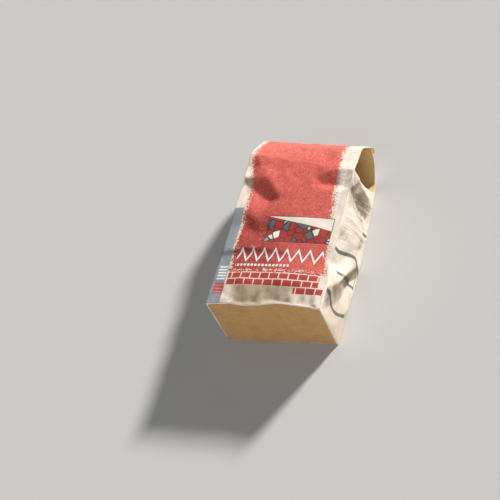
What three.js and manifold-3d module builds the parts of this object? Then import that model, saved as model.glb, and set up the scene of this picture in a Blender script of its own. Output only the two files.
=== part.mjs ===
// A sack of dry concrete mix, lying on its back panel with the printed front panel up.
// Units are millimetres. X runs across the sack, Y from its pasted bottom end to its closed top,
// and Z up from the back panel. The origin is under the middle of the sack, on the floor.
//
// The sack is one paper tube with a square bottom. At the top the front sheet folds back over the
// back sheet to a ridge. The left corner is tucked in, and the right corner is an open mouth.
import * as THREE from "three";
import { mergeVertices } from "three/addons/utils/BufferGeometryUtils.js";
import Module from "manifold-3d";

const wasm = await Module();
wasm.setup();

// Driving dimensions
const WIDTH = 250; // between the side folds
const DEPTH = 137; // from the back panel to the front panel at the bottom end
const WALL = 0.6; // the plies of kraft paper together
const GAP = 0.3; // between pieces that touch
const MIX_GAP = 0.4; // between the mix and the paper
const FRONT_CROWN = 9; // how far the front panel swells over the mix
const END_CROWN = 7; // how far it swells at the bottom end
const SIDE_CROWN = 5; // how far each side panel swells
const EDGE_RADIUS = 7; // of the long edges
const END_RADIUS = 3; // of the folds round the bottom end
const END_LEAN = 7; // how far back the front edge of the bottom end lies, at its middle
const HALF = WIDTH / 2;

// The fold of the top, as (y, z) points from the shoulder of the front panel over the ridge
// and down to the back panel, at the tucked left end and at the open right end, which sits lower.
const RIDGE_LEFT = [454, 89];
const RIDGE_RIGHT = [453, 70];
const ROOF_LEFT = [
  [385, 137], [405, 126], [424, 113], [440, 101], RIDGE_LEFT, [446, 70], [431, 46], [414, 19], [386, 0],
];
const ROOF_RIGHT = [
  [338, 146], [373, 140], [404, 128], [431, 102], RIDGE_RIGHT, [445, 58], [433, 41], [415, 18], [382, 0],
];
const FLAP_LENGTH = 24; // the front sheet's end, pasted down past the ridge on the back slope

// The upper edge of the right side panel, which is the lower lip of the mouth
const LIP = [[338, 146], [339, 113], [382, 0]];

const TUCK_FOOT = 385; // height of the fold at which the left side panel turns in
const TUCK_REACH = 64; // how far in from the side it meets the ridge

// Ridges and valleys of the crumpled paper: from, to, how far out, and how far they reach to
// either side. The front panel's are placed by x and y, and the right side's by y and z.
const FRONT_FOLDS = [
  [[-63, 313], [-27, 271], 6, 28],
  [[-118, 300], [-48, 260], -10, 34],
  [[-80, 190], [-52, 174], -5, 30],
  [[60, 326], [100, 338], 5, 20],
  [[60, 303], [HALF, 301], -8, 24],
  [[-62, 58], [58, 58], 6, 40],
  [[HALF, 110], [HALF, 145], -4, 30],
];
const SIDE_FOLDS = [
  [[113, 137], [125, 104], -11, 28],
  [[88, 106], [138, 62], 9, 26],
  [[37, 83], [112, 24], -14, 34],
  [[130, 17], [145, 5], -5, 22],
  [[152, 46], [184, 12], 5, 26],
  [[240, 87], [240, 37], 4, 44],
  [[298, 100], [295, 45], -8, 30],
  [[337, 80], [335, 14], 7, 30],
];

// The pasted patch of the bottom end
const PATCH_MARGIN = 4;
const PATCH_THICKNESS = 0.4;

// Free surface of the mix inside, nearer the bottom end at the front panel than at the back
const FILL_FRONT = 306;
const FILL_BACK = 330;

const CLEAR = 40; // how far cutting shapes run past the sack

// Colours and finishes
const printedPaper = new THREE.MeshStandardMaterial({ color: 0xd9c7ae, roughness: 0.85 });
const brownPaper = new THREE.MeshStandardMaterial({ color: 0xa57c48, roughness: 0.9 });
const greyMix = new THREE.MeshStandardMaterial({ color: 0x8c8983, roughness: 1 });

const lerp = THREE.MathUtils.lerp;
const smoothstep = THREE.MathUtils.smoothstep;

// How far a rounded long edge draws the section in at x
function edgeDraw(x) {
  const into = Math.max(0, Math.abs(x) - (HALF - EDGE_RADIUS));
  return EDGE_RADIUS - Math.sqrt(EDGE_RADIUS ** 2 - into ** 2);
}

// How far the front edge of the bottom end arches up at x
const endArch = (x) => END_CROWN * (1 - (x / HALF) ** 2);

// Height of the bottom end's front edge at x, and how far back its face lies at a height
const endTop = (x) => DEPTH + endArch(x) - END_RADIUS - edgeDraw(x);
function endFace(x, z) {
  const low = END_RADIUS + edgeDraw(x);
  return edgeDraw(x) + (END_LEAN * (1 - (x / HALF) ** 2) * (z - low)) / (endTop(x) - low);
}

// The point of a fold line at x, between its left and right ends
const foldAt = (x, left, right) => left.map((v, i) => lerp(v, right[i], (x + HALF) / WIDTH));

// Section of the sack's outer surface at x: closed points [y, z], from the bottom end's lower
// corner up its face, along the front panel, over the ridge and down the back slope.
function section(x) {
  const roof = ROOF_LEFT.map((p, i) => foldAt(x, p, ROOF_RIGHT[i]));
  const [shoulderY, shoulderZ] = roof[0];
  const [ridgeY, ridgeZ] = foldAt(x, RIDGE_LEFT, RIDGE_RIGHT);
  const draw = edgeDraw(x);
  const front = (y) => {
    const along = y / shoulderY;
    const bow = (FRONT_CROWN / END_CROWN) * Math.sin(Math.PI * along) ** 0.6;
    const swell = endArch(x) * Math.max(bow, 1 - along);
    return lerp(DEPTH, shoulderZ, along) + swell - draw;
  };
  const steps = (count, from, to) => Array.from({ length: count }, (_, i) => lerp(from, to, i / count));
  const end = steps(4, END_RADIUS + draw, endTop(x)).map((z) => [endFace(x, z), z]);
  end.push([endFace(x, endTop(x)), endTop(x)]);
  const panel = steps(15, endFace(x, endTop(x)) + END_RADIUS, shoulderY).map((y) => [y, front(y)]);
  const bend = new THREE.SplineCurve(roof.map((p) => new THREE.Vector2(...p)));
  const over = bend.getPoints(12).map((p) => {
    const fade = 1 - smoothstep(p.x, shoulderY - 1, shoulderY + 30);
    const inward = p.x < ridgeY && p.y > ridgeZ ? -draw * fade : 0;
    return [p.x, Math.max(0, p.y) + inward];
  });
  const [foot] = over.slice(-1);
  foot[1] += draw;
  const back = steps(14, foot[0], END_RADIUS + draw).map((y) => [y, draw]);
  return [...end, ...panel, ...over, ...back.slice(1), [END_RADIUS + draw, draw]];
}

// Moves a closed outline of points inwards by a distance
function inset(points, distance) {
  const n = points.length;
  const normal = (a, b) => {
    const d = new THREE.Vector2(b[0] - a[0], b[1] - a[1]).normalize();
    return new THREE.Vector2(d.y, -d.x);
  };
  return points.map((p, i) => {
    const before = normal(points[(i + n - 1) % n], p);
    const after = normal(p, points[(i + 1) % n]);
    const miter = before.clone().add(after).normalize();
    const reach = distance / Math.max(0.35, miter.dot(after));
    return [p[0] + miter.x * reach, p[1] + miter.y * reach];
  });
}

// How far folds lift the paper at a place: most on their own line and less beside it
function relief(folds, place) {
  const at = ([a, b]) => new THREE.Vector3(a, b, 0);
  const near = new THREE.Vector3();
  return folds.reduce((total, [from, to, height, reach]) => {
    new THREE.Line3(at(from), at(to)).closestPointToPoint(at(place), true, near);
    return total + height * Math.max(0, 1 - near.distanceTo(at(place)) / reach);
  }, 0);
}

// Triangles from side to side of a long closed outline, whose first and last points are at one end
function across(outline) {
  const apart = (i, j) => Math.hypot(outline[i][0] - outline[j][0], outline[i][1] - outline[j][1]);
  const triangles = [];
  let [a, b] = [0, outline.length - 1];
  while (b - a > 1) {
    if (apart(a + 1, b) < apart(a, b - 1)) triangles.push([a, ++a, b]);
    else triangles.push([a, b - 1, b--]);
  }
  return triangles;
}

// Closed mesh through rings of equal length, with triangles across the outline of each end
function skin(rings, outlines = [rings[0], rings.at(-1)].map((ring) => ring.map(([, y, z]) => [y, z]))) {
  const n = rings[0].length;
  const last = (rings.length - 1) * n;
  const positions = rings.flat(2);
  const index = [];
  for (let i = 0; i < n; i++) {
    const j = (i + 1) % n;
    for (let r = 0; r < last; r += n) index.push(r + i, r + j, r + j + n, r + i, r + j + n, r + i + n);
  }
  for (const [a, b, c] of across(outlines[0])) index.push(b, a, c);
  for (const [a, b, c] of across(outlines[1])) index.push(last + a, last + b, last + c);
  const mesh = new THREE.BufferGeometry()
    .setAttribute("position", new THREE.Float32BufferAttribute(positions, 3))
    .setIndex(index);
  return solid(mesh);
}

// three.js geometry as a manifold solid with its faces pointing out
function solid(geometry) {
  const bare = geometry.clone();
  bare.deleteAttribute("normal");
  bare.deleteAttribute("uv");
  const merged = mergeVertices(bare, 1e-4);
  const make = (triVerts) =>
    new wasm.Manifold(
      new wasm.Mesh({ numProp: 3, vertProperties: merged.attributes.position.array, triVerts }),
    );
  const triangles = Uint32Array.from(merged.index.array);
  const made = make(triangles);
  return made.volume() > 0 ? made : make(triangles.reverse());
}

// The sack's envelope, drawn in by a distance all over. Its sides close towards mid depth.
function envelope(distance) {
  const out = (x) => Math.sign(x) * (Math.abs(x) - distance);
  const sideways = (x, place) =>
    x > 0 ? relief(SIDE_FOLDS, place) * smoothstep(x, HALF - 5 * EDGE_RADIUS, HALF - EDGE_RADIUS) : 0;
  const rim = (x, distance) => inset(section(THREE.MathUtils.clamp(x, -HALF, HALF)), distance);
  const inward = ([y, z], share) => [
    lerp(THREE.MathUtils.clamp(y, DEPTH / 2, FILL_FRONT), y, share),
    lerp(DEPTH / 2, z, share),
  ];
  const ring = ([x, share]) =>
    rim(x, distance).map((point) => {
      const [y, z] = inward(point, share);
      const lift = point[1] > DEPTH / 2 ? relief(FRONT_FOLDS, [x, point[0]]) * share ** 3 : 0;
      return [out(x) + sideways(x, [y, z]), y, z + lift];
    });
  const swell = (share) => HALF + SIDE_CROWN * (1 - share ** 2);
  const cap = (shares) => shares.map((share) => [swell(share), share]);
  const edges = [1, 0.5, 0].map((k) => [HALF - EDGE_RADIUS * k, 1]);
  const inner = [23, 46, 68, 89, 104].map((x) => [x, 1]);
  const right = [...inner, ...edges, ...cap([0.8, 0.6, 0.4, 0.2])];
  const left = [...inner, ...edges, ...cap([0.6, 0.2])].map(([x, share]) => [-x, share]).reverse();
  const ends = [left[0], right.at(-1)].map(([x, share]) => rim(x, 0).map((point) => inward(point, share)));
  return skin([...left, [0, 1], ...right].map(ring), ends);
}

// A prism with a (y, z) outline, from one x to another
function prismAcross(outline, fromX, toX) {
  const shape = new THREE.Shape(outline.map((p) => new THREE.Vector2(...p)));
  const geometry = new THREE.ExtrudeGeometry(shape, { depth: toX - fromX, bevelEnabled: false });
  const turn = new THREE.Matrix4().makeBasis(
    new THREE.Vector3(0, 1, 0),
    new THREE.Vector3(0, 0, 1),
    new THREE.Vector3(1, 0, 0),
  );
  return solid(geometry.applyMatrix4(turn.setPosition(fromX, 0, 0)));
}

// A prism with an (x, y) outline, over the whole depth of the sack
function prismUp(outline) {
  const shape = new THREE.Shape(outline.map((p) => new THREE.Vector2(...p)));
  const geometry = new THREE.ExtrudeGeometry(shape, { depth: DEPTH + 2 * CLEAR, bevelEnabled: false });
  return solid(geometry.translate(0, 0, -CLEAR));
}

// The space above the lip of the mouth and inside the roof, cut through the right side
function mouthCut() {
  const roofInside = inset(section(HALF), WALL);
  const over = [
    ...LIP,
    [LIP[2][0], -CLEAR],
    [RIDGE_RIGHT[0] + CLEAR, -CLEAR],
    [RIDGE_RIGHT[0] + CLEAR, DEPTH + CLEAR],
    [LIP[0][0], DEPTH + CLEAR],
  ];
  const reach = [HALF - 2 * EDGE_RADIUS, HALF + CLEAR];
  return prismAcross(roofInside, ...reach).intersect(prismAcross(over, ...reach));
}

// The left side panel's upper end turns in at its foot, and runs under the roof up to the ridge
const TUCK_LINE = [
  [-HALF - SIDE_CROWN, TUCK_FOOT],
  [-HALF + TUCK_REACH, RIDGE_LEFT[0] + WALL],
];

function tuckPanel() {
  const thick = 2 * WALL;
  return prismUp([...TUCK_LINE, ...TUCK_LINE.map(([x, y]) => [x, y - thick]).reverse()]);
}

// The space outside the tuck and inside the roof, cut through the left side
function tuckCut() {
  const roofInside = inset(section(-HALF), WALL);
  const [foot, head] = TUCK_LINE;
  const beyond = [foot, head, [foot[0] - CLEAR, head[1] + CLEAR], [foot[0] - CLEAR, foot[1]]];
  const reach = [-HALF - CLEAR, -HALF + 2 * WALL];
  return prismAcross(roofInside, ...reach).intersect(prismUp(beyond));
}

// The front sheet's end, folded past the ridge and pasted on the back slope
function ridgeFlap() {
  const strip = (x) => {
    const [y, z] = foldAt(x, RIDGE_LEFT, RIDGE_RIGHT);
    const [inner, outer, under] = [y - CLEAR, y + CLEAR, z - FLAP_LENGTH];
    return [[x, inner, under], [x, outer, under], [x, outer, z], [x, inner, z]];
  };
  const past = skin([strip(-HALF), strip(HALF)]);
  return envelope(-WALL).subtract(envelope(WALL / 2)).intersect(past);
}

function paperSack() {
  const inside = envelope(WALL).subtract(tuckPanel());
  return envelope(0).subtract(inside).subtract(mouthCut()).subtract(tuckCut()).add(ridgeFlap());
}

function dryMix() {
  const level = [
    [-CLEAR, -CLEAR],
    [lerp(FILL_BACK, FILL_FRONT, -CLEAR / DEPTH), -CLEAR],
    [lerp(FILL_BACK, FILL_FRONT, 1 + CLEAR / DEPTH), DEPTH + CLEAR],
    [-CLEAR, DEPTH + CLEAR],
  ];
  return envelope(WALL + MIX_GAP).intersect(prismAcross(level, -HALF - CLEAR, HALF + CLEAR));
}

// The pasted patch, which leans and arches with the face that it lies on
function bottomPatch() {
  const reach = HALF - EDGE_RADIUS;
  const strip = (x) => {
    const heights = [0, 0.25, 0.5, 0.75, 1].map((k) => lerp(PATCH_MARGIN, endTop(x) - PATCH_MARGIN / 2, k));
    const face = (out) => heights.map((z) => [x, endFace(x, z) - GAP - out, z]);
    return [...face(0), ...face(PATCH_THICKNESS).reverse()];
  };
  const places = [-reach, -104, -89, -68, -46, -23, 0, 23, 46, 68, 89, 104, reach];
  return skin(places.map(strip));
}

function geometryOf(manifold) {
  const mesh = manifold.getMesh();
  return new THREE.BufferGeometry()
    .setAttribute("position", new THREE.BufferAttribute(mesh.vertProperties, 3))
    .setIndex(new THREE.BufferAttribute(mesh.triVerts, 1))
    .toNonIndexed();
}

function piece(name, manifold, material) {
  const geometry = geometryOf(manifold);
  geometry.computeVertexNormals();
  const mesh = new THREE.Mesh(geometry, material);
  mesh.name = name;
  return mesh;
}

const sack = new THREE.Group();
sack.add(
  piece("paper_sack", paperSack(), printedPaper),
  piece("dry_mix", dryMix(), greyMix),
  piece("bottom_patch", bottomPatch(), brownPaper),
);
const middle = new THREE.Box3().setFromObject(sack).getCenter(new THREE.Vector3());
sack.position.set(-middle.x, -middle.y, 0);

export default sack;
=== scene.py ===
# A filled paper sack of dry concrete mix, lying on its back panel with its printed panel up.
# Lengths are in millimetres in the sack's own frame: x across the sack, y from its pasted bottom
# end to its folded top, and z up from its back panel.
import math
import random

import bpy
import numpy as np
from mathutils import Matrix, Vector, noise
from mathutils.geometry import delaunay_2d_cdt


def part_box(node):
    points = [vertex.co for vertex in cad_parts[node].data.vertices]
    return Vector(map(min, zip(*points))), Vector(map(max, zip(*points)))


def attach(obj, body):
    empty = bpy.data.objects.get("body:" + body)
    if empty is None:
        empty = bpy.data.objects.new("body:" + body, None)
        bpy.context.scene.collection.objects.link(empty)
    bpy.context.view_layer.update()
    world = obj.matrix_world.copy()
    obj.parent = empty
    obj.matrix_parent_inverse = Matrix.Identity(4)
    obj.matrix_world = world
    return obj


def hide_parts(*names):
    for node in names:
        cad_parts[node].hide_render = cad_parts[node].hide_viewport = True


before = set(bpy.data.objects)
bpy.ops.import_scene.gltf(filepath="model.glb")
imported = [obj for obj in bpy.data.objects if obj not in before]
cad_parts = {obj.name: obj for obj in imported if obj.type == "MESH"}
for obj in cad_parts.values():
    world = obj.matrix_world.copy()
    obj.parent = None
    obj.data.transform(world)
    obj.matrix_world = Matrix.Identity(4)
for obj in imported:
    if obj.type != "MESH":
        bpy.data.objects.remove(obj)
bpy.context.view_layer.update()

MM = 0.001
sack_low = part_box("paper_sack")[0]

# Sizes of the sack
WIDTH = 250
HALF = WIDTH / 2
LEFT_REACH = 129.8  # from the solid's left side to the middle of the sack
DEPTH = 137
GIRTH = 2 * (WIDTH + DEPTH)
END_CROWN = 7  # how far the front panel swells at the bottom end
FRONT_CROWN = 9  # and over the mix
SIDE_CROWN = 5  # how far each side panel swells
PAPER = 0.6
SEAM_LIFT = 0.8  # of the back panel over the floor, where its seam lies
SEAM_GAP = 0.1  # between the seam and the floor
PATCH_LIFT = 0.8
PATCH_PAPER = 0.4
TUCK_FOOT = 385  # height of the fold at which the left side panel turns in
TUCK_REACH = 64  # how far in from the side it meets the ridge
TUCK_LENGTH = 94  # from that fold to the panel's end, along the paper
TUCK_GAP = 1.2  # between it and the sheets over and under it
RIDGE_LEFT = 454  # height of the ridge at its left end

# The folded top as (y, z) points, at the tucked left end and at the open right end:
# the front sheet from its shoulder over the ridge, and the back sheet up to the ridge
ROOF_LEFT = [
    (385, 137), (405, 126), (424, 113.5), (440, 101), (RIDGE_LEFT, 89), (452, 79), (445.5, 66),
]
ROOF_RIGHT = [(338, 146), (383, 135), (407, 127), (431, 101), (453, 71), (452, 63), (447, 57)]
SLOPE_LEFT = [(385, SEAM_LIFT), (402, 8), (415, 21), (430, 46), (443, 66), (450, 84)]
SLOPE_CLOSED = [(380, SEAM_LIFT), (401, 7), (415, 19), (430, 38), (441, 54), (449, 67)]
SLOPE_OPEN = [(380, SEAM_LIFT), (403, 5), (417, 21), (430, 43), (436, 64), (439, 84)]

# The right side panel's upper edge, as (share of the depth, y) points
LIP = [(0, 338), (0.23, 338), (1, 380)]

# Mesh of the paper
FRONT_COLUMNS = 84
SIDE_COLUMNS = 46
BODY_ROWS = 120
ROOF_ROWS = 64
SLOPE_ROWS = 30
TUCK_ROWS = 20
RING = 2 * (FRONT_COLUMNS + SIDE_COLUMNS)

# The stretches of that mesh under the glued lap of the back panel and under the patch
SEAM_ROWS = slice(2, -3)
SEAM_COLUMNS = slice(FRONT_COLUMNS // 2 - 5, FRONT_COLUMNS // 2 + 3)
PATCH_SPAN = slice(2, -2)

# Free surface of the mix, at the front panel and at the back panel
FILL_FRONT = 306
FILL_BACK = 330
MIX_INSET = 4.5  # of the mix from the paper's outside
MIX_FLOOR = SEAM_LIFT + PAPER + 0.3  # height of the mix's underside, just over the back panel
MIX_ROWS = 25


def in_frame(points):
    """Points in the sack's millimetres as metres in the part's frame"""
    return np.asarray(points) * MM + np.array([sack_low.x + LEFT_REACH * MM, sack_low.y, 0])


def fold_at(x, left, right):
    """A value at x, between those at the sack's left and right ends"""
    return left + (right - left) * (x + HALF) / WIDTH


def spread(count, gather=0.45):
    """Shares from 0 to 1, closer together at both ends"""
    even = np.linspace(0, 1, count + 1)
    return even - gather * np.sin(2 * np.pi * even) / (2 * np.pi)


def eased(value, low, high):
    """0 below low, 1 above high, and a smooth rise between them"""
    share = np.clip((value - low) / (high - low), 0, 1)
    return share * share * (3 - 2 * share)


def link(piece):
    bpy.context.scene.collection.objects.link(piece)
    return piece


# Camera, light and floor

CAMERA_PLACE = (1063.6, -1293.2, 2405.0)
CAMERA_AZIMUTH = 38.24
CAMERA_ELEVATION = 51.27
CAMERA_ROLL = -29.33
FOCAL_PIXELS = 1400
PICTURE_PIXELS = 500

# Lights: the direction that they come from, their spread in degrees, their strength and colour
KEY_LIGHT = ((0.44, 0.79, 0.44), 7, 5.35, (1.0, 0.97, 0.94))
FILL_LIGHT = ((-0.1, -1.0, 0.45), 60, 0.75, (1.0, 0.98, 0.95))
AIR_STRENGTH = 0.22
FLOOR_REACH = 80  # in metres


def add_camera():
    data = bpy.data.cameras.new("camera")
    data.lens = FOCAL_PIXELS / PICTURE_PIXELS * data.sensor_width
    camera = link(bpy.data.objects.new("camera", data))
    turn = (
        Matrix.Rotation(math.radians(CAMERA_AZIMUTH), 4, "Z")
        @ Matrix.Rotation(math.radians(90 - CAMERA_ELEVATION), 4, "X")
        @ Matrix.Rotation(math.radians(CAMERA_ROLL), 4, "Z")
    )
    camera.matrix_world = Matrix.Translation(Vector(in_frame(CAMERA_PLACE))) @ turn
    bpy.context.scene.camera = camera


def add_light(name, direction, spread_degrees, strength, shade):
    """An even light from this direction, whose shadows soften with its spread"""
    data = bpy.data.lights.new(name, "SUN")
    data.angle = math.radians(spread_degrees)
    data.energy = strength
    data.color = shade
    lamp = link(bpy.data.objects.new(name, data))
    lamp.rotation_euler = Vector(direction).to_track_quat("Z", "Y").to_euler()


def add_studio():
    add_light("key_light", *KEY_LIGHT)
    add_light("fill_light", *FILL_LIGHT)
    world = bpy.data.worlds.new("studio")
    world.use_nodes = True
    air = world.node_tree.nodes["Background"]
    air.inputs["Color"].default_value = (0.97, 0.98, 1.0, 1)
    air.inputs["Strength"].default_value = AIR_STRENGTH
    bpy.context.scene.world = world
    mesh = bpy.data.meshes.new("floor")
    corners = [(x * FLOOR_REACH, y * FLOOR_REACH, 0) for x, y in ((-1, -1), (1, -1), (1, 1), (-1, 1))]
    mesh.from_pydata(corners, [], [(0, 1, 2, 3)])
    floor = link(bpy.data.objects.new("floor", mesh))
    floor.data.materials.append(plain_floor())
    bpy.context.scene.view_settings.view_transform = "Standard"


# Shader maths


class Shade:
    """A socket of a material, on which Python's own operators add Math nodes"""

    def __init__(self, paint, socket):
        self.paint = paint
        self.socket = socket

    def output(self, name):
        """Another output of the same node"""
        return Shade(self.paint, self.socket.node.outputs[name])

    def maths(self, operation, *values):
        return self.paint.node("Math", {"operation": operation}, dict(enumerate(values)))

    def __add__(self, other):
        return self.maths("ADD", self, other)

    def __sub__(self, other):
        return self.maths("SUBTRACT", self, other)

    def __rsub__(self, other):
        return self.maths("SUBTRACT", other, self)

    def __mul__(self, other):
        return self.maths("MULTIPLY", self, other)

    def __truediv__(self, other):
        return self.maths("DIVIDE", self, other)

    def __mod__(self, other):
        return self.maths("FLOORED_MODULO", self, other)

    def __abs__(self):
        return self.maths("ABSOLUTE", self)

    __radd__ = __add__
    __rmul__ = __mul__

    def least(self, other):
        return self.maths("MINIMUM", self, other)

    def most(self, other):
        return self.maths("MAXIMUM", self, other)

    def rise(self, low, high, start=0.0, end=1.0):
        """start below low, end above high, and a smooth step between them"""
        sockets = {"Value": self, "From Min": low, "From Max": high, "To Min": start, "To Max": end}
        return self.paint.node("MapRange", {"interpolation_type": "SMOOTHSTEP"}, sockets)

    def fall(self, low, high):
        """1 below low, 0 above high, and a smooth step between them"""
        return self.rise(low, high, 1.0, 0.0)

    def between(self, low, high, soft=0.5):
        """1 from low to high and 0 elsewhere, with edges this soft"""
        return self.rise(low - soft, low + soft) * self.fall(high - soft, high + soft)

    def stripes(self, pitch, width, soft=0.4):
        """1 on stripes of this width, one to each pitch, and 0 between them"""
        return (self % pitch).between(0, width, soft)


class Paint:
    """One material and the nodes that make it"""

    def __init__(self, name):
        self.material = bpy.data.materials.new(name)
        self.material.use_nodes = True
        self.tree = self.material.node_tree
        self.shader = self.tree.nodes["Principled BSDF"]

    def node(self, kind, settings=None, sockets=None):
        made = self.tree.nodes.new("ShaderNode" + kind)
        for name, value in (settings or {}).items():
            setattr(made, name, value)
        for key, value in (sockets or {}).items():
            if isinstance(value, Shade):
                self.tree.links.new(value.socket, made.inputs[key])
            else:
                made.inputs[key].default_value = value
        return Shade(self, made.outputs[0])

    def mix(self, share, first, second):
        """The first colour where share is 0 and the second where it is 1"""
        return self.node("Mix", {"data_type": "RGBA"}, {0: share, 6: first, 7: second}).output(2)

    def darken(self, share, shade, tint):
        """The shade multiplied by the tint where share is 1"""
        settings = {"data_type": "RGBA", "blend_type": "MULTIPLY"}
        return self.node("Mix", settings, {0: share, 6: shade, 7: tint}).output(2)

    def solid_place(self):
        return self.node("TexCoord").output("Object")

    def speckle(self, place, size, detail=2.0, rough=0.5, stretch=(1, 1, 1)):
        """Noise from 0 to 1 whose blotches are about this many mm across"""
        scaled = self.node("VectorMath", {"operation": "MULTIPLY"}, {0: place, 1: stretch})
        sockets = {"Vector": scaled, "Scale": 1 / (size * MM), "Detail": detail, "Roughness": rough}
        return self.node("TexNoise", None, sockets)

    def cells(self, place, size, feature="F1"):
        """Voronoi cells about this many mm across"""
        return self.node("TexVoronoi", {"feature": feature}, {"Vector": place, "Scale": 1 / (size * MM)})

    def chance(self, place, size):
        """A random value from 0 to 1 for each of the cells"""
        return self.node("SeparateXYZ", None, {0: self.cells(place, size).output("Color")})

    def finish(self, shade, roughness, height, reach):
        """Sets colour, roughness and a bump of this reach in mm, and gives back the material"""
        bump = self.node("Bump", None, {"Strength": 1.0, "Distance": reach * MM, "Height": height})
        self.tree.links.new(shade.socket, self.shader.inputs["Base Color"])
        self.tree.links.new(bump.socket, self.shader.inputs["Normal"])
        self.shader.inputs["Roughness"].default_value = roughness
        self.shader.inputs["Specular IOR Level"].default_value = DULL
        return self.material


def tone(red, green, blue):
    """An sRGB colour, given from 0 to 255, as the linear one that a socket holds"""
    return (*(((c / 255 + 0.055) / 1.055) ** 2.4 for c in (red, green, blue)), 1)


CREAM = tone(232, 220, 206)
CREAM_DARK = tone(200, 180, 155)
RED = tone(194, 70, 60)
RED_PALE = tone(228, 134, 120)
RED_DEEP = tone(172, 52, 46)
# Tint of the painted shade on the red field
RED_PAINTED_SHADE = tone(204, 170, 166)
BAND_GREY = tone(132, 141, 148)
STRIPE_AND_SHADOW_GREY = tone(104, 103, 102)
INK_WHITE = tone(236, 238, 236)
# Pale paper of worn folds, also the painted highlight on the bottom rim
RUBBED_AND_LIT = tone(250, 244, 234)
PLY_EDGE = tone(238, 226, 204)
CHARCOAL = tone(68, 66, 64)
# Dust, also the painted shade under the mouth
DUST_AND_SHADE = tone(120, 112, 100)
# Tint of painted shade, with some dust, on the cream paper
SHADE_AND_DUST_TINT = tone(188, 171, 146)
KRAFT = tone(218, 173, 115)
KRAFT_DARK = tone(174, 130, 80)
# Paler kraft for the paper's inside: painted light in the mouth
KRAFT_PAINTED_LIGHT = tone(255, 224, 162)
KRAFT_INNER_PAINTED_LIGHT = tone(252, 208, 144)
POWDER = tone(152, 148, 141)
POWDER_DARK = tone(116, 112, 105)
FLOOR_GREY = (0.56, 0.56, 0.55, 1)
DULL = 0.3  # specular level of paper and powder

# The print's places on the unrolled sheet. Across runs from the middle of the front panel over the
# right side to the back, and along from the bottom end to the top. An area is its range across and
# its range along.

# The red field's edges: across at the foot, and how far they lean for each mm along
FIELD_LEFT = (-92, -0.02)
FIELD_RIGHT = (125, -0.11)
FIELD_FOOT = 82

# The grey band on the left
BAND_TOP = 239
BAND_END = -186
BAND_TICKS = ((-118, -99), (58, 94))
BAND_BARS = ((-119, -96), (26, 52))

# The courses of blocks
COURSE_HEIGHT = 15.5
BLOCK_LENGTH = 21
END_JOINT = 1.3  # half the gap between blocks of a course
BED_JOINT = 1.2  # half the gap between courses
LONG_COURSES = ((-93, 108), (3 * COURSE_HEIGHT, FIELD_FOOT))
SHORT_COURSE = ((57, 120), (2 * COURSE_HEIGHT, 3 * COURSE_HEIGHT))

# The zigzag and the dashed line
ZIGZAG_FOOT = 107
ZIGZAG_RISE = 26
ZIGZAG_PITCH = 25
ZIGZAG_STROKE = 8
ZIGZAG_ENDS = (-85, 104)
DASHES = ((-84, 40), (93, 98.5))

# The panel of broken stones
STONE_PANEL = ((-34, 110), (151, 214))
PANEL_LINE = 1.5
STONE_SIZE = 17

# The right edge and the right side. A wave is its height along, and where it starts and ends
# across from the right fold.
GREY_WAVES = ((42, 3, 128), (112, 30, 134), (158, 6, 134), (250, 108, 134))
WAVE_STROKE = 8.4
WRINKLE_SLANT = 0.3
EDGE_TICKS = ((103, 109), (236, 334))
SMUDGE_AND_SHADE_HEIGHT = 302


def plain_floor():
    paint = Paint("plain_floor")
    paint.shader.inputs["Base Color"].default_value = FLOOR_GREY
    paint.shader.inputs["Roughness"].default_value = 0.9
    return paint.material


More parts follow.
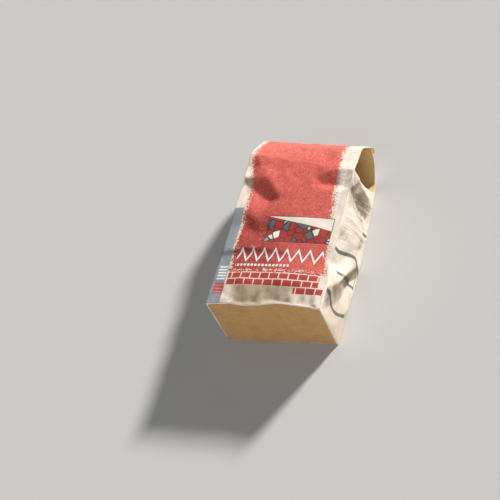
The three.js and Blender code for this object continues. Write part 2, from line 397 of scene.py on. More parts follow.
class PrintedPaper(Paint):
    """Cream kraft paper, whose print is placed by across and along on the unrolled sheet"""

    def __init__(self, name):
        super().__init__(name)
        self.place = self.node("UVMap", {"uv_map": "chart"})
        split = self.node("SeparateXYZ", None, {0: self.place})
        self.across = split / MM
        self.along = split.output("Y") / MM
        self.turn = self.across - HALF
        self.grain = self.speckle(self.place, 1.6, 3, 0.65)
        self.fibres = self.speckle(self.place, 6, 4, 0.7, (1, 0.3, 1))
        self.blotch = self.speckle(self.place, 26, 3)
        self.shade = CREAM

    def lay(self, share, shade):
        """Covers what is there with this shade where share is 1"""
        self.shade = self.mix(share, self.shade, shade)

    def area(self, across, along, soft=0.5):
        """1 inside these ranges of across and along"""
        return self.across.between(*across, soft) * self.along.between(*along, soft)

    def attribute(self, name):
        return self.node("Attribute", {"attribute_name": name}).output("Fac")

    def field_edges(self):
        """How far a place is inside the printed field's left and right edges"""
        left_edge = self.along * FIELD_LEFT[1] + FIELD_LEFT[0]
        right_edge = self.along * FIELD_RIGHT[1] + FIELD_RIGHT[0]
        from_left = self.across - left_edge + self.along.rise(290, 375) * 15
        from_right = right_edge - self.across
        from_right = from_right + self.along.rise(290, 360) * 5 + self.along.rise(390, 480) * 16
        return from_left, from_right

    def side_wrinkles(self):
        """Fine slanting wrinkles over the upper part of the right side"""
        slanted = {
            0: (self.along - self.turn * WRINKLE_SLANT) * MM,
            1: (self.turn + self.along * WRINKLE_SLANT) * MM,
        }
        streaks = self.speckle(self.node("CombineXYZ", None, slanted), 5, 4, 0.65, (1, 0.08, 1))
        return streaks.rise(0.3, 0.7) * self.turn.between(12, DEPTH - 4, 8) * self.along.rise(150, 190)

    def lay_bare_paper(self):
        """Fibres and clouds in the paper; painted shade where it turns from the key light, and painted
        shade with dust at its foot and low on its side
        """
        cloud = self.speckle(self.place, 60, 3)
        self.lay(self.fibres.rise(0.38, 0.72) * 0.5, CREAM_DARK)
        self.lay(cloud.rise(0.45, 0.8) * 0.35, CREAM_DARK)
        # Painted shade with some dust over the foot of the front and low on the right side
        foot = self.along.between(4, 50, 10) * self.across.between(-74, 52, 16)
        foot = foot * (self.blotch * 1.6).least(1)
        low_side = self.turn.rise(4, 24) * self.along.fall(50, 130) * 0.35
        # Painted shade where the paper turns from the key light
        shade_and_dust = self.attribute("painted_shade").most(foot).most(low_side)
        self.shade = self.darken(shade_and_dust, self.shade, SHADE_AND_DUST_TINT)

    def lay_field(self, from_left, from_right):
        """A worn red field with flecked edges, a painted highlight towards the roof, and painted shade
        at its lower left
        """
        inward = from_left.least(from_right).least(self.along - FIELD_FOOT)
        ragged = inward + (self.chance(self.place, 2.4) - 0.5) * 12 + (self.blotch - 0.5) * 8
        worn_and_lit = self.grain.rise(0.44, 0.64) * 0.65
        worn_and_lit = worn_and_lit + self.speckle(self.place, 9, 4, 0.7).rise(0.4, 0.7) * 0.3
        # Painted highlight: the red turns paler towards the roof
        worn_and_lit = worn_and_lit + self.along.rise(350, 400) * 0.16 - 0.04
        red = self.mix(worn_and_lit.least(1), RED, RED_PALE)
        red = self.mix(self.blotch.rise(0.5, 0.8) * 0.45, red, RED_DEEP)
        # Painted shade over the lower left of the red field
        painted_shade_low_left = self.across.fall(-25, 45) * self.along.rise(40, 90) * self.along.fall(185, 260)
        red = self.darken(painted_shade_low_left * 0.85, red, RED_PAINTED_SHADE)
        pinholes = self.chance(self.place, 1.4).rise(0.86, 0.92)
        red = self.mix(pinholes * 0.16, red, INK_WHITE)
        self.lay(ragged.rise(-0.6, 0.6), red)

    def lay_band(self, from_left):
        """A grey band down the left edge and round on to the left side, with ticks and bars on it"""
        band = (0 - from_left).rise(3.2, 4.2) * self.along.fall(BAND_TOP, BAND_TOP + 2)
        band = band * self.across.rise(BAND_END, BAND_END + 2) * self.along.rise(-30, -28)
        self.lay(band, self.mix(self.grain.rise(0.45, 0.75) * 0.35, BAND_GREY, INK_WHITE))
        self.lay(self.along.stripes(7.5, 3.6) * self.area(*BAND_TICKS), INK_WHITE)
        self.lay(self.along.stripes(8, 5.5) * self.area(*BAND_BARS), RED)

    def lay_courses(self):
        """Courses of red blocks under the field"""
        course = self.along / COURSE_HEIGHT
        shifted = self.across + course.maths("FLOOR", course) * (BLOCK_LENGTH / 2)
        block = (shifted % BLOCK_LENGTH).between(END_JOINT, BLOCK_LENGTH - END_JOINT)
        block = block * (self.along % COURSE_HEIGHT).between(BED_JOINT, COURSE_HEIGHT - BED_JOINT)
        laid = self.area(*LONG_COURSES, 0.6).most(self.area(*SHORT_COURSE, 0.6))
        self.lay(block * laid, self.mix(self.grain.rise(0.45, 0.7) * 0.4, RED_DEEP, RED_PALE))

    def lay_zigzag(self):
        """A pale zigzag with a dashed line under it"""
        up = abs((self.across % ZIGZAG_PITCH) / (ZIGZAG_PITCH / 2) - 1)
        line = self.along - ZIGZAG_FOOT - up * ZIGZAG_RISE
        zigzag = line.between(-ZIGZAG_STROKE / 2, ZIGZAG_STROKE / 2) * self.across.between(*ZIGZAG_ENDS)
        dashes = self.across.stripes(8, 5) * self.area(*DASHES)
        self.lay(zigzag.most(dashes), INK_WHITE)

    def lay_stone_panel(self):
        """A framed panel of broken stones, with a pale wedge over them"""
        tint = self.chance(self.place, STONE_SIZE)
        stone = self.mix(tint.rise(0.42, 0.46), RED_DEEP, CREAM)
        stone = self.mix(tint.rise(0.66, 0.7), stone, STRIPE_AND_SHADOW_GREY)
        joints = self.cells(self.place, STONE_SIZE, "DISTANCE_TO_EDGE").fall(0.05, 0.09)
        stone = self.mix(joints, stone, CHARCOAL)
        over = (self.along + self.across * 0.2).rise(205, 206)
        inner = [(low + PANEL_LINE, high - PANEL_LINE) for low, high in STONE_PANEL]
        self.lay(self.area(*STONE_PANEL, 0.6), CHARCOAL)
        self.lay(self.area(*inner), self.mix(over, stone, CREAM))

    def lay_side(self, wrinkles):
        """Painted shade along fine wrinkles, and grey waves across the right side"""
        # Painted shade: the paper darker along the wrinkles
        self.lay(wrinkles * 0.3, CREAM_DARK)
        for height, start, end in GREY_WAVES:
            swing = self.turn / 22 + height / 40
            wave = swing.maths("SINE", swing) * 8 + self.turn * 0.12
            stripe = (self.along - height - wave).between(-WAVE_STROKE / 2, WAVE_STROKE / 2, 0.6)
            stripe = stripe * self.turn.between(start, end, 1)
            self.lay(stripe * self.grain.rise(0.3, 0.5, 0.65), STRIPE_AND_SHADOW_GREY)

    def lay_right_edge(self):
        """Pale ticks up the right edge, and a smudged patch under the mouth, partly dust and partly
        painted shade
        """
        ticks = self.along.stripes(9, 5, 0.5) * self.area(*EDGE_TICKS)
        self.lay(ticks * 0.7, INK_WHITE)
        # Partly dust, partly painted shade, under the mouth's lip
        smudge_and_shade = (self.along - SMUDGE_AND_SHADE_HEIGHT + self.turn * 0.08).between(-26, 27, 14)
        smudge_and_shade = smudge_and_shade * self.turn.between(-4, 112, 16) * self.along.fall(LIP[0][1] - 5, LIP[0][1] - 2)
        smudge_and_shade = smudge_and_shade * self.speckle(self.place, 11, 6, 0.75).rise(0.36, 0.64)
        self.lay(smudge_and_shade * 0.8, DUST_AND_SHADE)

    def lay_wear(self):
        """A painted shadow line and a worn rim with a painted highlight at the bottom fold, wear along
        the folds, and specks of dirt
        """
        patchy = self.speckle(self.place, 14, 3)
        # Painted shadow: a grey line just over the bottom fold
        line = self.along.between(1.5, 3.4, 0.6) * self.across.between(-HALF, HALF, 1)
        self.lay(line * patchy.rise(0.4, 0.5) * 0.7, STRIPE_AND_SHADOW_GREY)
        # Worn paper and a painted highlight: a pale rim round the bottom end
        rim = self.along.between(-DEPTH - 4, 1.6) * (patchy + 0.6).least(1)
        worn = self.attribute("wear") * self.fibres.rise(0.1, 0.5) * 0.7
        self.lay(worn.most(rim), RUBBED_AND_LIT)
        specks = self.speckle(self.place, 3, 3, 0.8).rise(0.7, 0.76)
        self.lay(specks * 0.35, DUST_AND_SHADE)


def printed_paper():
    """Cream kraft paper with a worn red field, a grey band, pale zigzags, blocks and stripes"""
    paint = PrintedPaper("printed_paper")
    from_left, from_right = paint.field_edges()
    wrinkles = paint.side_wrinkles()
    paint.lay_bare_paper()
    paint.lay_field(from_left, from_right)
    paint.lay_band(from_left)
    paint.lay_courses()
    paint.lay_zigzag()
    paint.lay_stone_panel()
    paint.lay_side(wrinkles)
    paint.lay_right_edge()
    paint.lay_wear()
    return paint.finish(paint.shade, 0.8, paint.grain * 0.35 + paint.fibres * 0.65 + wrinkles * 1.5, 0.3)


def kraft_paper(name, bright=KRAFT, dark=KRAFT_DARK):
    """Plain brown kraft paper"""
    paint = Paint(name)
    place = paint.solid_place()
    fibres = paint.speckle(place, 4, 4, 0.7, (0.3, 1, 1))
    cloud = paint.speckle(place, 45, 3)
    shade = paint.mix(fibres.rise(0.3, 0.75) * 0.45, bright, dark)
    shade = paint.mix(cloud.rise(0.4, 0.8) * 0.35, shade, dark)
    return paint.finish(shade, 0.85, fibres, 0.2)


def cut_edge():
    """The cut edges of the paper's plies"""
    paint = Paint("cut_edge")
    fibres = paint.speckle(paint.solid_place(), 1.5, 3)
    return paint.finish(paint.mix(fibres, PLY_EDGE, CREAM_DARK), 0.9, fibres, 0.1)


def dry_powder():
    """Grey cement powder and sand"""
    paint = Paint("dry_mix")
    place = paint.solid_place()
    powder = paint.speckle(place, 3, 5, 0.7)
    sand = paint.cells(place, 1.6)
    shade = paint.mix(powder.rise(0.3, 0.7), POWDER, POWDER_DARK)
    return paint.finish(shade, 0.95, powder + sand * 0.4, 0.6)


# Pushes of the paper at places on the unrolled sheet

RIGHT_FOLD = HALF
LEFT_FOLD = -HALF
BACK_RIGHT_FOLD = HALF + DEPTH
BACK_LEFT_FOLD = -HALF - DEPTH
BACK_MIDDLE = BACK_RIGHT_FOLD + HALF
SHEET_TOP = 540

# Folds: (along, dx, dy, dz)
FOLD_PUSHES = {
    RIGHT_FOLD: [
        (0, 0, 0, 3), (30, -1, 0, 2), (58, 2, 0, 1), (92, -3, 0, 0), (120, -11, 0, -6), (150, -4, 0, 0),
        (195, -1, 0, 0), (240, 0, 0, 0), (290, 0, 0, 0), (338, 0, 0, 0),
    ],
    LEFT_FOLD: [
        (0, 0, 0, 2), (60, 0, 0, 0), (119, 2, 0, -2), (130, 0, 0, -1), (200, 1, 0, -3),
        (261, 0, 0, -3), (303, 1, 0, -5), (322, 0, 0, -2), (350, 0, 0, -2), (385, 0, 0, 0),
    ],
    BACK_RIGHT_FOLD: [
        (0, 1, 0, 0), (58, 0, 0, 0), (85, 4, 0, 0), (121, 6, 0, 0), (160, 7, 0, 0), (190, 7, 0, 0),
        (262, 6, 0, 0), (298, 5, 0, 0), (337, 3, 0, 0), (386, 0, 0, 0),
    ],
    BACK_LEFT_FOLD: [(0, 0, 0, 0), (100, -3, 0, 0), (200, -4, 0, 0), (300, -3, 0, 0), (385, 0, 0, 0)],
}

# The front edge of the bottom end: (across, dy, dz)
FOOT_PUSHES = [
    (-74, 6, -3), (-45, 3, -5), (-8, 5, -4), (32, 10, -2), (67, 8, -2), (96, 5, 0), (173, 0, 0),
    (220, 0, 0), (300, 0, 0), (387, -3, 0), (450, -6, 0), (490, -4, 0),
]

# The panels: (across, along, how far out)
PANEL_PUSHES = [
    # Dents and ridges of the front panel
    (-105, 376, 2), (-111, 350, -6), (-92, 352, 1), (-112, 300, -7), (-100, 320, 1), (-63, 313, 6),
    (-27, 271, 4), (-92, 288, -9), (-68, 268, -11), (-45, 258, -8), (-22, 256, 2), (-84, 236, 1),
    (-100, 232, 1), (-60, 205, 3), (-80, 190, -5), (-52, 174, -4), (-30, 330, 1), (45, 318, 1),
    (70, 330, 5), (94, 337, 6), (57, 303, -6), (76, 303, -8), (99, 301, -7), (40, 292, 1),
    (66, 286, 1), (100, 280, 1), (20, 225, 2), (70, 190, 2), (-36, 150, 1), (104, 240, 0),
    (104, 190, 0),
    # The crease across it
    (-118, 129, 3), (-116, 119, -3), (-70, 138, 3), (-70, 127, -3), (0, 132, 2), (0, 122, -2),
    (60, 116, 0),
    # Its foot
    (-88, 62, 1), (-58, 56, 4), (-84, 20, -2), (-50, 11, -6), (-22, 12, -6), (2, 18, -4),
    (28, 18, -6), (52, 14, -5), (78, 11, -3), (104, 9, 0), (98, 40, 3), (-16, 50, 3), (20, 58, 4),
    (58, 56, 3), (80, 70, 2),
    # Lower half of the right side, and the front panel beside it
    (134, 117, -11), (161, 128, -8), (184, 126, 9), (139, 68, 6), (155, 85, 8), (206, 148, 9),
    (237, 176, 8), (240, 124, -8), (226, 88, -9), (197, 56, -9), (158, 27, -7), (247, 141, -6),
    (252, 238, 6), (200, 232, 5), (250, 126, 1), (240, 56, -2), (215, 18, -1), (256, 138, 1),
    (252, 92, 1), (114, 96, -4), (110, 62, 2), (104, 126, -3), (104, 154, 1), (150, 158, -5),
    (142, 180, -6), (150, 205, 4), (168, 188, 5), (178, 160, 1), (205, 200, 6),
    # Upper half of the right side, up to the mouth's lip
    (157, 336, 2), (187, 334, 5), (222, 335, 6), (252, 334, 5), (166, 298, -11), (212, 294, -11),
    (248, 298, -4), (168, 343, -3), (185, 351, -6), (206, 361, -8), (240, 374, -6), (175, 240, 5),
    (225, 240, 5), (150, 258, 0),
    # Its bottom edge
    (190, 8, -1), (232, 10, -1),
]

# Creases between those places: the (across, along) of both ends
CREASES = [
    # Right side
    ((125, 120), (134, 117)), ((134, 117), (161, 128)), ((161, 128), (184, 126)),
    ((125, 58), (139, 68)), ((139, 68), (155, 85)), ((155, 85), (184, 126)),
    ((125, 0), (158, 27)), ((158, 27), (197, 56)), ((197, 56), (226, 88)),
    ((226, 88), (240, 124)), ((240, 124), (247, 141)), ((247, 141), (256, 138)),
    ((184, 126), (206, 148)), ((206, 148), (237, 176)), ((125, 338), (157, 336)),
    ((157, 336), (187, 334)), ((187, 334), (222, 335)), ((222, 335), (252, 334)),
    # Front panel
    ((-100, 320), (-63, 313)), ((-63, 313), (-27, 271)), ((-92, 288), (-68, 268)),
    ((-68, 268), (-45, 258)), ((45, 318), (70, 330)), ((70, 330), (94, 337)),
    ((57, 303), (76, 303)), ((76, 303), (99, 301)), ((-100, 232), (-60, 205)),
    ((-80, 190), (-52, 174)), ((-118, 129), (-70, 138)), ((-70, 138), (0, 132)),
    ((-116, 119), (-70, 127)), ((-70, 127), (0, 122)), ((-50, 11), (-22, 12)),
    ((28, 18), (52, 14)), ((52, 14), (78, 11)),
]

# Stretches of the sheet that are dented by chance: (across, along, spacing, depth)
SCATTERED = [
    ((LEFT_FOLD + 8, RIGHT_FOLD - 8), (20, 330), 42, 1.4),
    ((LEFT_FOLD + 8, RIGHT_FOLD - 8), (350, 450), 36, 1.5),
    ((RIGHT_FOLD + 8, BACK_RIGHT_FOLD - 8), (20, 330), 34, 1.4),
    ((BACK_LEFT_FOLD + 8, LEFT_FOLD - 8), (15, 460), 36, 3.0),
    ((BACK_RIGHT_FOLD + 8, BACK_RIGHT_FOLD + WIDTH - 8), (395, 480), 40, 2.0),
]

# Small crumples and creases all over
CRUMPLE_SPACING = 17
CRUMPLE_HEIGHT = 1.0
STREAK_TURN = (0.96, 0.29)  # cosine and sine of the slant of the right side's streaks

# Near the key light's direction: paper that turns away from it gets painted shade
KEY_LIGHT_WAY = (0.44, 0.78, 0.44)


def outward(across, along=0):
    """The way out of the sack at this place on the unrolled sheet"""
    top = along > TUCK_FOOT
    if across > BACK_RIGHT_FOLD or across < BACK_LEFT_FOLD:
        return np.array([0, 0.85, -0.5]) if top else np.array([0, 0, -1])
    if across > RIGHT_FOLD:
        return np.array([1, 0, 0])
    if across < LEFT_FOLD:
        return np.array([-0.7, 0.7, 0]) if top else np.array([-1, 0, 0])
    return np.array([0, 0.5, 0.85]) if top else np.array([0, 0, 1])


class Facets:
    """Pushes at places on the unrolled sheet, with flat facets between them"""

    def __init__(self, seed):
        self.dice = random.Random(seed)
        self.spots = []
        self.pushes = []

    def add(self, across, along, push):
        self.spots.append((across, along))
        self.pushes.append(np.array(push, float))

    def add_out(self, across, along, out):
        self.add(across, along, out * outward(across, along))

    def scatter(self, across, along, spacing, depth):
        """Fills a stretch of the sheet with places pushed in or out by chance"""
        columns = max(1, round((across[1] - across[0]) / spacing))
        rows = max(1, round((along[1] - along[0]) / spacing))
        for i in range(columns):
            for j in range(rows):
                a = across[0] + (i + self.dice.uniform(0.1, 0.9)) * (across[1] - across[0]) / columns
                b = along[0] + (j + self.dice.uniform(0.1, 0.9)) * (along[1] - along[0]) / rows
                out = self.dice.uniform(-depth, depth)
                if min(math.dist((a, b), spot) for spot in self.spots) > spacing * 0.7:
                    self.add_out(a, b, out)

    def nearest(self, spot):
        return min(range(len(self.spots)), key=lambda i: math.dist(self.spots[i], spot))

    def fold(self, creases):
        """Joins the places with triangles that keep to the creases"""
        ends = [tuple(self.nearest(spot) for spot in crease) for crease in creases]
        made = delaunay_2d_cdt([Vector(s) for s in self.spots], ends, [], 0, 1e-4)
        self.corners = np.array([tuple(v) for v in made[0]])
        self.lifts = np.array([self.pushes[origin[0]] if origin else np.zeros(3) for origin in made[3]])
        self.triangles = made[2]

    def at(self, spots):
        """The push at each of these places"""
        flat = spots.reshape(-1, 2)
        found = np.zeros((len(flat), 3))
        for triangle in self.triangles:
            a, b, c = self.corners[list(triangle)]
            basis = np.array([b - a, c - a]).T
            if abs(np.linalg.det(basis)) < 1e-9:
                continue
            low, high = np.minimum(np.minimum(a, b), c), np.maximum(np.maximum(a, b), c)
            near = np.flatnonzero(((flat >= low) & (flat <= high)).all(1))
            share = (flat[near] - a) @ np.linalg.inv(basis).T
            weights = np.column_stack([1 - share.sum(1), share])
            inside = (weights > -1e-6).all(1)
            found[near[inside]] = weights[inside] @ self.lifts[list(triangle)]
        return found.reshape(*spots.shape[:-1], 3)


def sack_facets():
    """The large facets of the crumpled sack"""
    facets = Facets(seed=11)
    for across, pushes in FOLD_PUSHES.items():
        for along, *push in pushes:
            facets.add(across, along, push)
            if across == BACK_LEFT_FOLD:
                facets.add(across + GIRTH, along, push)
    for across, dy, dz in FOOT_PUSHES:
        facets.add(across, 0, (0, dy, dz))
    for spot in PANEL_PUSHES:
        facets.add_out(*spot)

    # Places that stay where they are, up the roof and round the ends of the sheet
    for across in np.linspace(LEFT_FOLD, RIGHT_FOLD, 6):
        foot = TUCK_FOOT + 5 if across < LEFT_FOLD / 2 else 365
        for along in (foot, 462, 495, SHEET_TOP):
            facets.add(across, along, (0, 0, 0))
    for across in (BACK_LEFT_FOLD - 10, BACK_RIGHT_FOLD, BACK_MIDDLE, BACK_LEFT_FOLD + GIRTH + 10):
        for along in (-5, SHEET_TOP):
            facets.add(across, along, (0, 0, 0))
    for stretch in SCATTERED:
        facets.scatter(*stretch)
    facets.fold(CREASES)
    return facets


def crumples():
    """Small facets all over the sheet, as heights over its surface"""
    facets = Facets(seed=4)
    spacing = CRUMPLE_SPACING
    sheet_end = BACK_LEFT_FOLD + GIRTH
    for across in np.arange(BACK_LEFT_FOLD - spacing, sheet_end + spacing, spacing):
        for along in np.arange(-spacing, SHEET_TOP + 20, spacing):
            shift = [facets.dice.uniform(-0.45, 0.45) * spacing for _ in range(2)]
            out = facets.dice.uniform(-1, 1)
            facets.add(across + shift[0], along + shift[1], (0, 0, out))
    facets.fold([])
    return facets


# The paper's surface

side_shares = spread(SIDE_COLUMNS)
front_places = -HALF + WIDTH * spread(FRONT_COLUMNS)


def shoulder(x):
    """Where the front panel ends and the roof starts, as (y, z)"""
    return [fold_at(x, a, b) for a, b in zip(ROOF_LEFT[0], ROOF_RIGHT[0])]


def front_height(x, y):
    """Height of the swelling front panel over the floor"""
    shoulder_y, shoulder_z = shoulder(x)
    along = np.clip(y / shoulder_y, 0, 1)
    bow = FRONT_CROWN / END_CROWN * np.sin(np.pi * along) ** 0.6
    arch = END_CROWN * (1 - (x / HALF) ** 2)
    return DEPTH + (shoulder_z - DEPTH) * along + arch * np.maximum(bow, 1 - along)


def swelling(share, y):
    """How far a side panel stands out, at a share of its depth"""
    return SIDE_CROWN * np.sin(np.pi * share) * np.sin(np.pi * np.clip(y / 360, 0, 1)) ** 0.5


def body_surface():
    """Rows of points round the sack from its bottom end to the shoulder, with their places"""
    rows = spread(BODY_ROWS)[:, None]

    def panel(x, y, z, across):
        points = np.stack(np.broadcast_arrays(x, y, z), -1)
        return points, np.stack(np.broadcast_arrays(across, y), -1)

    def side(way, shares, top):
        """The side panel at the left, where way is -1, or at the right, where it is 1"""
        fold = way * HALF
        y = rows * top + 0 * shares
        z = SEAM_LIFT + (1 - shares) * (front_height(fold, y) - SEAM_LIFT)
        return panel(fold + way * swelling(shares, y), y, z, fold + way * shares * DEPTH)

    left = side(-1, side_shares[None, :0:-1], TUCK_FOOT)
    x = front_places[None, :]
    y = rows * shoulder(x)[0]
    front = panel(x, y, front_height(x, y), x)
    shares = side_shares[None, 1:]
    right = side(1, shares, np.interp(shares, *zip(*LIP)))
    x = front_places[None, -2:0:-1]
    y = rows * fold_at(x, SLOPE_LEFT[0][0], SLOPE_CLOSED[0][0])
    back = panel(x, y, SEAM_LIFT, BACK_MIDDLE - x)
    panels = [left, front, right, back]
    return np.hstack([p[0] for p in panels]), np.hstack([p[1] for p in panels])


def smooth_curve(points, shares):
    """Points at these shares of the length of a curve through the points, and their lengths"""
    control = np.array(points, float)
    ends = np.vstack([2 * control[0] - control[1], control, 2 * control[-1] - control[-2]])
    t = np.linspace(0, 1, 12, endpoint=False)[:, None]
    fine = []
    for a, b, c, d in zip(ends, ends[1:], ends[2:], ends[3:]):
        slope = c - a
        bend = 2 * a - 5 * b + 4 * c - d
        twist = 3 * b - a - 3 * c + d
        fine.append(b + (slope * t + bend * t**2 + twist * t**3) / 2)
    fine = np.vstack([*fine, control[-1:]])
    length = np.concatenate([[0], np.cumsum(np.linalg.norm(np.diff(fine, axis=0), axis=1))])
    wanted = shares * length[-1]
    return np.column_stack([np.interp(wanted, length, fine[:, i]) for i in (0, 1)]), wanted


def roof_line(x):
    """The front sheet's line at x, from its shoulder over the ridge"""
    return fold_at(x, np.array(ROOF_LEFT, float), np.array(ROOF_RIGHT, float))


def slope_line(x):
    """The back sheet's line at x, which stands away from the roof at the open corner"""
    closed = fold_at(x, np.array(SLOPE_LEFT, float), np.array(SLOPE_CLOSED, float))
    return closed + (np.array(SLOPE_OPEN, float) - closed) * eased(x, HALF * 0.1, HALF) ** 1.3


def top_surface(columns, line, rows, across_at, foot_at):
    """Rows of points up a folded sheet from its foot, with their places"""
    shares = np.linspace(0, 1, rows + 1)
    points, places = [], []
    for x in columns:
        curve, length = smooth_curve(line(x), shares)
        points.append(np.column_stack([np.full(rows + 1, x), curve]))
        places.append(np.column_stack([np.full(rows + 1, across_at(x)), foot_at(x) + length]))
    return np.stack(points, 1), np.stack(places, 1)


def height_of(line, y):
    """Height over y of a folded sheet's line, as far as its ridge"""
    rising = line[: line[:, 0].argmax() + 1]
    return np.interp(y, rising[:, 0], rising[:, 1])


def tuck_surface():
    """The left side panel's end, turned in under the roof, from the back to the front"""
    shares = np.linspace(0, 1, TUCK_ROWS + 1)
    points, places = [], []
    for q in side_shares[::-1]:
        x = -HALF + shares * TUCK_REACH
        y = TUCK_FOOT + shares * (RIDGE_LEFT - 4 - TUCK_FOOT)
        clear = np.minimum(shares * 8, 1) * TUCK_GAP
        top = np.array([height_of(roof_line(a), b) for a, b in zip(x, y)]) - clear
        under = np.array([height_of(slope_line(a), b) for a, b in zip(x, y)]) + clear
        bulge = 3 * np.sin(np.pi * q) * np.sin(np.pi * shares)
        z = under + (1 - q) * (top - under)
        points.append(np.column_stack([x - bulge, y + bulge, z]))
        across = np.full(len(x), LEFT_FOLD - q * DEPTH)
        places.append(np.column_stack([across, TUCK_FOOT + shares * TUCK_LENGTH]))
    return np.stack(points, 1), np.stack(places, 1)


def filled_rim(near, far, left, right, swell):
    """Rows of points from the near rim to the far one, with the left and right rims at their ends"""
    b = spread(len(left) - 1)[:, None, None]
    a = spread(len(near) - 1)[None, :, None]
    ruled = (1 - b) * near[None] + b * far[None] + (1 - a) * left[:, None] + a * right[:, None]
    corners = (1 - b) * ((1 - a) * near[0] + a * near[-1]) + b * ((1 - a) * far[0] + a * far[-1])
    bulge = (np.sin(np.pi * a) * np.sin(np.pi * b)) ** 0.7 * np.array(swell, float)
    return ruled - corners + bulge


class Sheet:
    """Welded points with their places on the unrolled paper, and quads between them"""

    def __init__(self):
        self.points = np.zeros((0, 3))
        self.spots = np.zeros((0, 2))
        self.quads = []
        self.places = []

    def number(self, points, spots):
        """Adds a block of points and gives back their numbers, in the block's own shape"""
        numbers = np.arange(points[..., 0].size) + len(self.points)
        self.points = np.vstack([self.points, points.reshape(-1, 3)])
        self.spots = np.vstack([self.spots, spots.reshape(-1, 2)])
        return numbers.reshape(points.shape[:-1])

    def cover(self, numbers, spots):
        """Adds quads between neighbouring rows and columns"""
        corners = [(0, 0), (0, 1), (1, 1), (1, 0)]
        rows, columns = numbers.shape

        def step(grid, r, c):
            return grid[r : rows - 1 + r, c : columns - 1 + c]

        self.quads.append(np.stack([step(numbers, *o) for o in corners], -1).reshape(-1, 4))
        self.places.append(np.stack([step(spots, *o) for o in corners], -2).reshape(-1, 4, 2))

    def fill(self, rims, points, spots):
        """Adds a grid of points inside its near, far, left and right rims, which are there already"""
        near, far, left, right = rims
        inner = self.number(points[1:-1, 1:-1], spots[1:-1, 1:-1])
        middle = np.column_stack([left[1:-1], inner, right[1:-1]])
        numbers = np.vstack([near, middle, far])
        self.cover(numbers, spots)
        return numbers

    def rims(self):
        """Each edge once, and whether it is on an open rim"""
        quads = np.vstack(self.quads)
        edges = np.sort(np.vstack([quads[:, [i, (i + 1) % 4]] for i in range(4)]), 1)
        unique, count = np.unique(edges, axis=0, return_counts=True)
        return unique, count == 1

    def averages(self):
        """The middle of each point's neighbours, which on a rim are those along the rim"""
        edges, open_rim = self.rims()
        on_rim = np.zeros(len(self.points), bool)
        on_rim[edges[open_rim].ravel()] = True
        total = np.zeros_like(self.points)
        count = np.zeros(len(self.points))
        for a, b in ((0, 1), (1, 0)):
            use = ~on_rim[edges[:, a]] | open_rim
            np.add.at(total, edges[use, a], self.points[edges[use, b]])
            np.add.at(count, edges[use, a], 1)
        return total / np.maximum(count, 1)[:, None]

    def smooth(self, share):
        """Moves each point this share of the way to the middle of its neighbours"""
        self.points = self.points + share * (self.averages() - self.points)

    def normals(self):
        """The way out at each point"""
        quads = np.vstack(self.quads)
        corners = self.points[quads]
        faces = np.cross(corners[:, 2] - corners[:, 0], corners[:, 3] - corners[:, 1])
        total = np.zeros_like(self.points)
        for i in range(4):
            np.add.at(total, quads[:, i], faces)
        return total / np.maximum(np.linalg.norm(total, axis=1), 1e-9)[:, None]

    def piece(self, name, materials):
        """A mesh object with the unrolled paper as its UV map"""
        mesh = bpy.data.meshes.new(name)
        mesh.from_pydata(in_frame(self.points).tolist(), [], np.vstack(self.quads).tolist())
        layer = mesh.uv_layers.new(name="chart")
        layer.data.foreach_set("uv", (np.vstack(self.places) * MM).ravel())
        mesh.shade_smooth()
        for material in materials:
            mesh.materials.append(material)
        return link(bpy.data.objects.new(name, mesh))


def rumple(spots, size, seed, stretch=(1, 1)):
    """Smooth noise from about -1 to 1 at each place, with lumps of this size in mm"""
    scaled = spots * np.array(stretch) / size
    return np.array([noise.noise(Vector((a, b, seed * 7.3))) * 2 for a, b in scaled])


def small_creases(spots):
    """How far the paper stands out in wrinkles smaller than the facets"""
    across, along = spots.T
    ring = np.where(across > BACK_RIGHT_FOLD, 0.25, 1.0)
    patchy = 0.35 + 0.65 * eased(rumple(spots, 70, 6), -0.4, 0.6)
    out = ring * (0.4 * rumple(spots, 24, 1) + 0.12 * rumple(spots, 9, 2))
    out += ring * patchy * CRUMPLE_HEIGHT * crumples().at(spots)[:, 2]
    foot = eased(along, 4, 12) * (1 - eased(along, 22, 60))
    out += 1.5 * foot * rumple(spots, 17, 3, (1, 0.25)) * (np.abs(across) < HALF)
    on_side = eased(across, RIGHT_FOLD, RIGHT_FOLD + 12)
    on_side = on_side * (1 - eased(across, BACK_RIGHT_FOLD - 12, BACK_RIGHT_FOLD))
    streaks = on_side * eased(along, 150, 200) * (1 - eased(along, 285, 330))
    cosine, sine = STREAK_TURN
    slant = np.column_stack([along * cosine - across * sine, across * cosine + along * sine])
    out += 0.6 * streaks * rumple(slant, 8, 4, (1, 0.1))
    return out


def panel_columns():
    """The columns round the sack that the left side, the front, the right side and the back take"""
    left = np.arange(0, SIDE_COLUMNS + 1)
    front = np.arange(SIDE_COLUMNS, SIDE_COLUMNS + FRONT_COLUMNS + 1)
    right = np.arange(front[-1], front[-1] + SIDE_COLUMNS + 1)
    back = np.append(np.arange(right[-1], RING), 0)
    return left, front, right, back


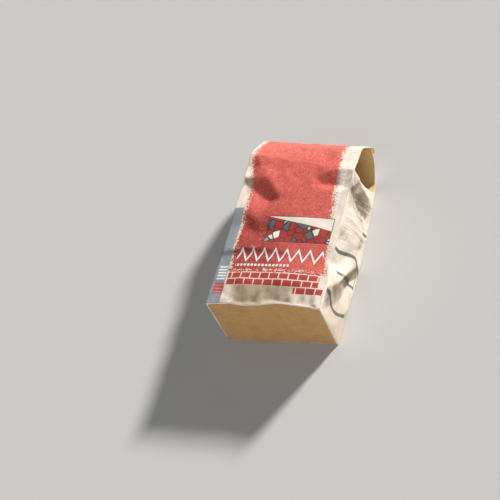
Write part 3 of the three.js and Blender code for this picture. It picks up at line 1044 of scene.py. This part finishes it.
def paper_sheet():
    """The whole paper as one sheet, and the blocks of numbers that its other pieces lie on"""
    facets = sack_facets()
    sheet = Sheet()
    body, body_spots = body_surface()
    body = body + facets.at(body_spots)
    ring = sheet.number(body, body_spots)
    closing = body_spots[:, :1] + np.array([GIRTH, 0])
    sheet.cover(np.hstack([ring, ring[:, :1]]), np.hstack([body_spots, closing]))
    left, front, right, back = panel_columns()

    def raise_block(columns, surface):
        points, spots = surface
        points = points + facets.at(spots)
        numbers = np.vstack([ring[-1, columns], sheet.number(points[1:], spots[1:])])
        sheet.cover(numbers, spots)
        return numbers

    roof = top_surface(front_places, roof_line, ROOF_ROWS, lambda x: x, lambda x: shoulder(x)[0])
    slope = top_surface(
        front_places[::-1], slope_line, SLOPE_ROWS, lambda x: BACK_MIDDLE - x, lambda x: TUCK_FOOT
    )
    raise_block(front, roof)
    slope_numbers = raise_block(back, slope)
    raise_block(left, tuck_surface())

    # The bottom end, from the back panel up to the front one
    rims = [ring[0, back[::-1]], ring[0, front], ring[0, left], ring[0, right[::-1]]]
    end = filled_rim(*(sheet.points[rim] for rim in rims), (0, -1.5, 0))
    rises = 1 - spread(SIDE_COLUMNS)[:, None]
    end_spots = np.stack(np.broadcast_arrays(front_places[None, :], -DEPTH * rises), -1)
    end_numbers = sheet.fill(rims, end, end_spots)

    sheet.smooth(0.6)
    sheet.points += small_creases(sheet.spots)[:, None] * sheet.normals()
    sheet.smooth(0.3)
    sheet.points[:, 2] = np.maximum(sheet.points[:, 2], SEAM_LIFT)
    return sheet, {"ring": ring, "back": np.vstack([ring[:-1, back], slope_numbers]), "end": end_numbers}


def fold_wear(sheet):
    """1 on sharp outer folds, where the print is worn, and 0 on flat paper"""
    sharp = ((sheet.points - sheet.averages()) * sheet.normals()).sum(1)
    across, along = sheet.spots.T
    rounded = (np.abs(across - RIGHT_FOLD) < 12) * eased(along, 180, 230)
    return eased(sharp, 0.3, 0.8) * (1 - 0.8 * rounded) * eased(along, 1, 6)


def shade_from_key(sheet):
    """How much painted shade the front and right panels get where they turn from the key light's way"""
    across, along = sheet.spots.T
    turned = 1 - eased(sheet.normals() @ np.array(KEY_LIGHT_WAY), 0.02, 0.36)
    return turned * (across > LEFT_FOLD + 4) * (across < BACK_RIGHT_FOLD) * (along > 2)


def thicken(piece, thickness, inner=0, rim=0):
    """Gives a sheet its thickness, with these material slots inside and on its cut edges"""
    walls = piece.modifiers.new("plies", "SOLIDIFY")
    walls.thickness = thickness * MM
    walls.offset = -1
    walls.material_offset = inner
    walls.material_offset_rim = rim


def laid_on(sheet, numbers, lift, name, materials):
    """A strip of paper pasted over part of the sheet"""
    strip = Sheet()
    points = sheet.points[numbers] + lift * sheet.normals()[numbers]
    block = strip.number(points, sheet.spots[numbers])
    strip.cover(block, sheet.spots[numbers])
    return strip.piece(name, materials)


def lumps(points):
    """How far the loose surface of the mix stands up at each point"""
    spots = points.reshape(-1, 3)
    heights = [noise.noise(Vector(p) / 22) * 5 + noise.noise(Vector(p) / 7) * 2 for p in spots]
    return np.array(heights).reshape(points.shape[:2])


def mix_body(sheet, ring):
    """The loose mix inside the paper, up to its level"""
    columns = (sheet.points - MIX_INSET * sheet.normals())[ring]
    shares = np.linspace(0, 1, MIX_ROWS + 1)
    level = FILL_BACK + (FILL_FRONT - FILL_BACK) * columns[0, :, 2] / DEPTH
    rows = []
    for c in range(RING):
        line = columns[:, c]
        order = np.maximum.accumulate(line[:, 1])
        y = line[0, 1] + shares * (level[c] - line[0, 1])
        x, z = (np.interp(y, order, line[:, axis]) for axis in (0, 2))
        rows.append(np.column_stack([x, y, z]))
    body = np.stack(rows, 1)
    body[..., 2] = np.maximum(body[..., 2], MIX_FLOOR)
    mix = Sheet()
    spots = np.zeros((*body.shape[:2], 2))
    block = mix.number(body, spots)
    mix.cover(np.hstack([block, block[:, :1]]), np.hstack([spots, spots[:, :1]]))

    # Its bottom end and its loose surface
    left, front, right, back = panel_columns()
    for row, sides in (
        (0, (back[::-1], front, left, right[::-1])),
        (-1, (front, back[::-1], left[::-1], right)),
    ):
        rims = [block[row, side] for side in sides]
        cap = filled_rim(*(mix.points[rim] for rim in rims), (0, 0, 0))
        if row:
            cap[..., 1] += lumps(cap)
        mix.fill(rims, cap, np.zeros((*cap.shape[:2], 2)))
    return mix.piece("mix_body", [dry_powder()])


def add_values(piece, name, values):
    """Gives each point of a piece a value that its material reads by this name"""
    layer = piece.data.attributes.new(name, "FLOAT", "POINT")
    layer.data.foreach_set("value", values)


add_camera()
add_studio()

sheet, blocks = paper_sheet()
printed = printed_paper()
# The inside of the paper, paler than plain kraft: painted light in the mouth
inner_kraft_painted_light = kraft_paper("inner_kraft_painted_light", KRAFT_PAINTED_LIGHT, KRAFT_INNER_PAINTED_LIGHT)
sack = sheet.piece("sack_paper", [printed, inner_kraft_painted_light, cut_edge()])
add_values(sack, "wear", fold_wear(sheet))
# Painted shade where the paper turns from the key light
add_values(sack, "painted_shade", shade_from_key(sheet))
thicken(sack, PAPER, 1, 2)

patch_block = blocks["end"][PATCH_SPAN, PATCH_SPAN]
patch = laid_on(sheet, patch_block, PATCH_LIFT, "end_patch", [kraft_paper("patch_kraft")])
thicken(patch, PATCH_PAPER)

seam_block = blocks["back"][SEAM_ROWS, SEAM_COLUMNS]
seam = laid_on(sheet, seam_block, SEAM_LIFT - SEAM_GAP, "back_seam", [printed])
thicken(seam, PAPER)

mix = mix_body(sheet, blocks["ring"])

for piece, slot in (
    (sack, "printed_paper"),
    (patch, "kraft_paper"),
    (seam, "printed_paper"),
    (mix, "dry_mix"),
):
    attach(piece, "root")
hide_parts("paper_sack")
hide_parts("bottom_patch")
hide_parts("dry_mix")
